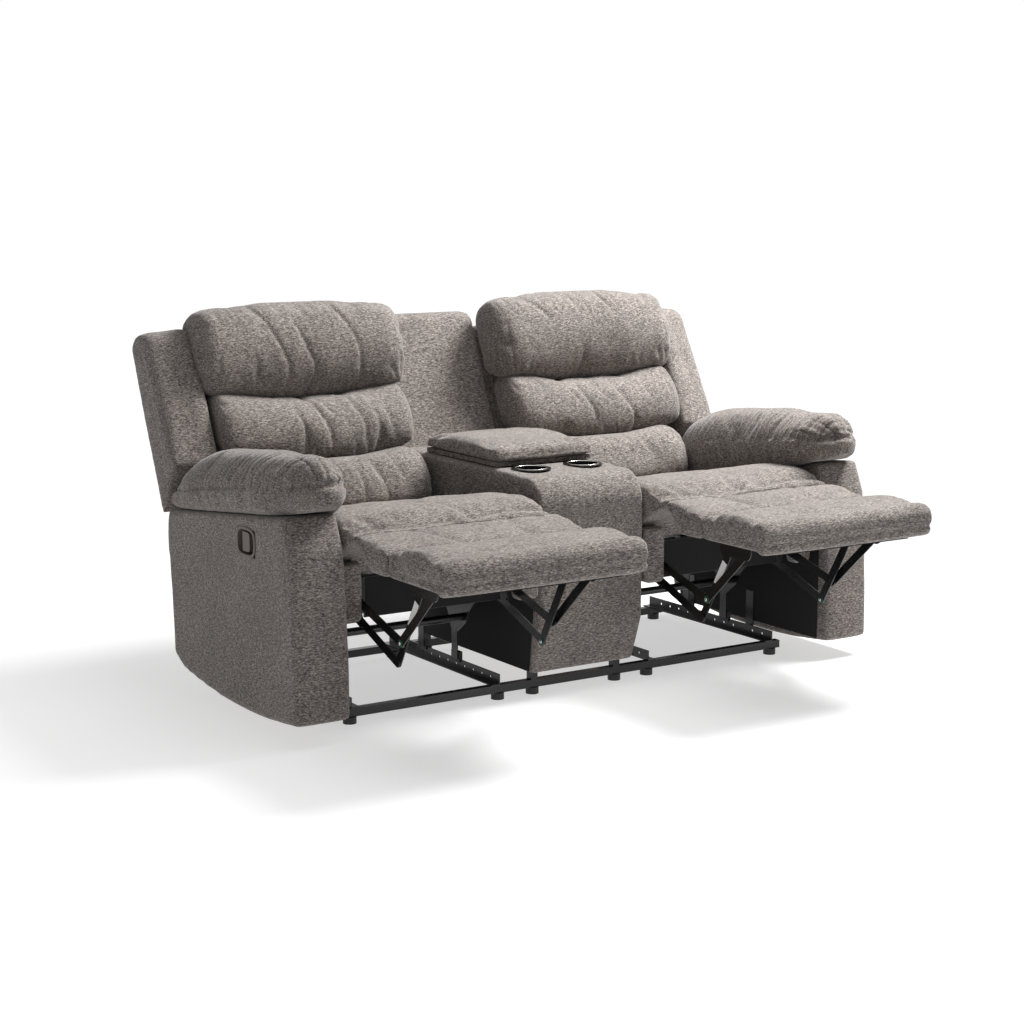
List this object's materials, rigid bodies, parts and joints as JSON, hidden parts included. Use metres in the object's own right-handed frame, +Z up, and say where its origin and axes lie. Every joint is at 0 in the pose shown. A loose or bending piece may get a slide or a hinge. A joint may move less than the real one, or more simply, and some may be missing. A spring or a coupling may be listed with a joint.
{
  "type": "reclining sofa",
  "caption": "Padded two-seat reclining sofa with a centre console, lidded bin and cup holders; linked footrests swing out, backs recline and seats slide forward.",
  "frame": {"origin": "on the floor at the middle of the bounding box, with both footrests out", "axes": "+X to the viewer's right along the width, -Y is the way the seats face, +Z up"},
  "size_m": [1.908, 1.458, 1.0437],
  "materials": {
    "upholstery_fabric": "heather-grey woven chenille with light and dark flecks",
    "black_steel": "semi-gloss black paint",
    "zinc_steel": "bright zinc",
    "black_plastic": "fine-grained black",
    "cup_black": "smooth black",
    "bin_liner": "black moulded liner",
    "plywood": "raw plywood"
  },
  "bodies": {
    "base": {"base_cross_members": "black_steel", "base_rails": "black_steel", "floor_glides": "black_plastic", "arm_left": "upholstery_fabric", "arm_right": "upholstery_fabric", "arm_pad_left": "upholstery_fabric", "arm_pad_right": "upholstery_fabric", "handle_bezel_left": "black_plastic", "handle_bezel_right": "black_plastic", "console_body": "upholstery_fabric", "cup_holders": "cup_black", "console_bin": "bin_liner", "lid_hinge_brackets": "black_steel", "console_back": "upholstery_fabric"},
    "console_lid": {"lid_board": "plywood", "lid_cushion": "upholstery_fabric"},
    "handle_left": {"release_handle_left": "black_plastic"},
    "handle_right": {"release_handle_right": "black_plastic"},
    "seat_left": {"seat_cushion_left": "upholstery_fabric", "seat_frame_left": "black_steel", "seat_ears_left": "upholstery_fabric", "seat_springs_left": "zinc_steel", "seat_chassis_left": "black_steel", "slide_shoes_left": "black_plastic"},
    "back_left": {"back_shell_left": "upholstery_fabric", "back_board_left": "plywood", "back_wing_left": "upholstery_fabric", "back_brackets_left": "black_steel", "head_pillow_left": "upholstery_fabric", "middle_pillow_left": "upholstery_fabric", "lower_pillow_left": "upholstery_fabric"},
    "link_rear_left": {"link_rear_left": "black_steel"},
    "link_front_left": {"link_front_left": "black_steel"},
    "link_long_left": {"link_long_left": "black_steel"},
    "link_short_left": {"link_short_left": "black_steel"},
    "footrest_left": {"footrest_pad_left": "upholstery_fabric", "footrest_board_left": "plywood", "footrest_brackets_left": "black_steel"},
    "bridge_left": {"bridge_pad_left": "upholstery_fabric"},
    "seat_right": {"seat_cushion_right": "upholstery_fabric", "seat_frame_right": "black_steel", "seat_ears_right": "upholstery_fabric", "seat_springs_right": "zinc_steel", "seat_chassis_right": "black_steel", "slide_shoes_right": "black_plastic"},
    "back_right": {"back_shell_right": "upholstery_fabric", "back_board_right": "plywood", "back_wing_right": "upholstery_fabric", "back_brackets_right": "black_steel", "head_pillow_right": "upholstery_fabric", "middle_pillow_right": "upholstery_fabric", "lower_pillow_right": "upholstery_fabric"},
    "link_rear_right": {"link_rear_right": "black_steel"},
    "link_front_right": {"link_front_right": "black_steel"},
    "link_long_right": {"link_long_right": "black_steel"},
    "link_short_right": {"link_short_right": "black_steel"},
    "footrest_right": {"footrest_pad_right": "upholstery_fabric", "footrest_board_right": "plywood", "footrest_brackets_right": "black_steel"},
    "bridge_right": {"bridge_pad_right": "upholstery_fabric"}
  },
  "joints": [
    {"name": "lid_hinge", "type": "hinge", "parent": "base", "child": "console_lid", "pos_m": [0, 0.39977, 0.612], "axis": [-1, 0, 0], "range_deg": [0, 90]},
    {"name": "handle_pull_left", "type": "hinge", "parent": "base", "child": "handle_left", "pos_m": [-0.9365, -0.01623, 0.485], "axis": [0, 0, -1], "range_deg": [0, 30], "stiffness_Nm_per_rad": 0.6},
    {"name": "seat_slide_left", "type": "slide", "parent": "base", "child": "seat_left", "axis": [0, -1, 0], "range_m": [0, 0.06]},
    {"name": "recline_left", "type": "hinge", "parent": "seat_left", "child": "back_left", "pos_m": [-0.4775, 0.30777, 0.28], "axis": [-1, 0, 0], "range_deg": [0, 30]},
    {"name": "footrest_fold_left", "type": "hinge", "parent": "seat_left", "child": "link_rear_left", "pos_m": [-0.4775, -0.16863, 0.3351], "axis": [1, 0, 0], "range_deg": [0, 117.08]},
    {"name": "link_front_pivot_left", "type": "hinge", "parent": "seat_left", "child": "link_front_left", "pos_m": [-0.4775, -0.18723, 0.2764], "axis": [1, 0, 0], "range_deg": [0, 120.9]},
    {"name": "link_long_pivot_left", "type": "hinge", "parent": "link_rear_left", "child": "link_long_left", "pos_m": [-0.4775, -0.40223, 0.2649], "axis": [1, 0, 0], "range_deg": [-99.8, 0]},
    {"name": "link_short_pivot_left", "type": "hinge", "parent": "link_front_left", "child": "link_short_left", "pos_m": [-0.4775, -0.36723, 0.2073], "axis": [1, 0, 0], "range_deg": [-107.7, 0]},
    {"name": "footrest_pivot_left", "type": "hinge", "parent": "link_long_left", "child": "footrest_left", "pos_m": [-0.4775, -0.56023, 0.412], "axis": [1, 0, 0], "range_deg": [0, 72.7]},
    {"name": "bridge_hinge_left", "type": "hinge", "parent": "seat_left", "child": "bridge_left", "pos_m": [-0.4775, -0.30373, 0.5155], "axis": [1, 0, 0], "range_deg": [0, 90.1]},
    {"name": "handle_pull_right", "type": "hinge", "parent": "base", "child": "handle_right", "pos_m": [0.9365, -0.01623, 0.485], "axis": [0, 0, 1], "range_deg": [0, 30], "stiffness_Nm_per_rad": 0.6},
    {"name": "seat_slide_right", "type": "slide", "parent": "base", "child": "seat_right", "axis": [0, -1, 0], "range_m": [0, 0.06]},
    {"name": "recline_right", "type": "hinge", "parent": "seat_right", "child": "back_right", "pos_m": [0.4775, 0.30777, 0.28], "axis": [-1, 0, 0], "range_deg": [0, 30]},
    {"name": "footrest_fold_right", "type": "hinge", "parent": "seat_right", "child": "link_rear_right", "pos_m": [0.4775, -0.16863, 0.3351], "axis": [1, 0, 0], "range_deg": [0, 117.08]},
    {"name": "link_front_pivot_right", "type": "hinge", "parent": "seat_right", "child": "link_front_right", "pos_m": [0.4775, -0.18723, 0.2764], "axis": [1, 0, 0], "range_deg": [0, 120.9]},
    {"name": "link_long_pivot_right", "type": "hinge", "parent": "link_rear_right", "child": "link_long_right", "pos_m": [0.4775, -0.40223, 0.2649], "axis": [1, 0, 0], "range_deg": [-99.8, 0]},
    {"name": "link_short_pivot_right", "type": "hinge", "parent": "link_front_right", "child": "link_short_right", "pos_m": [0.4775, -0.36723, 0.2073], "axis": [1, 0, 0], "range_deg": [-107.7, 0]},
    {"name": "footrest_pivot_right", "type": "hinge", "parent": "link_long_right", "child": "footrest_right", "pos_m": [0.4775, -0.56023, 0.412], "axis": [1, 0, 0], "range_deg": [0, 72.7]},
    {"name": "bridge_hinge_right", "type": "hinge", "parent": "seat_right", "child": "bridge_right", "pos_m": [0.4775, -0.30373, 0.5155], "axis": [1, 0, 0], "range_deg": [0, 90.1]}
  ],
  "couplings": [
    {"joint": "seat_slide_left", "follows": "recline_left", "m_per_rad": 0.1145},
    {"joint": "link_front_pivot_left", "follows": "footrest_fold_left", "ratio": 1.032},
    {"joint": "link_long_pivot_left", "follows": "footrest_fold_left", "ratio": -0.85126},
    {"joint": "link_short_pivot_left", "follows": "footrest_fold_left", "ratio": -0.91886},
    {"joint": "footrest_pivot_left", "follows": "footrest_fold_left", "ratio": 0.61995},
    {"joint": "bridge_hinge_left", "follows": "footrest_fold_left", "ratio": 0.76869},
    {"joint": "seat_slide_right", "follows": "recline_right", "m_per_rad": 0.1145},
    {"joint": "link_front_pivot_right", "follows": "footrest_fold_right", "ratio": 1.032},
    {"joint": "link_long_pivot_right", "follows": "footrest_fold_right", "ratio": -0.85126},
    {"joint": "link_short_pivot_right", "follows": "footrest_fold_right", "ratio": -0.91886},
    {"joint": "footrest_pivot_right", "follows": "footrest_fold_right", "ratio": 0.61995},
    {"joint": "bridge_hinge_right", "follows": "footrest_fold_right", "ratio": 0.76869}
  ]
}
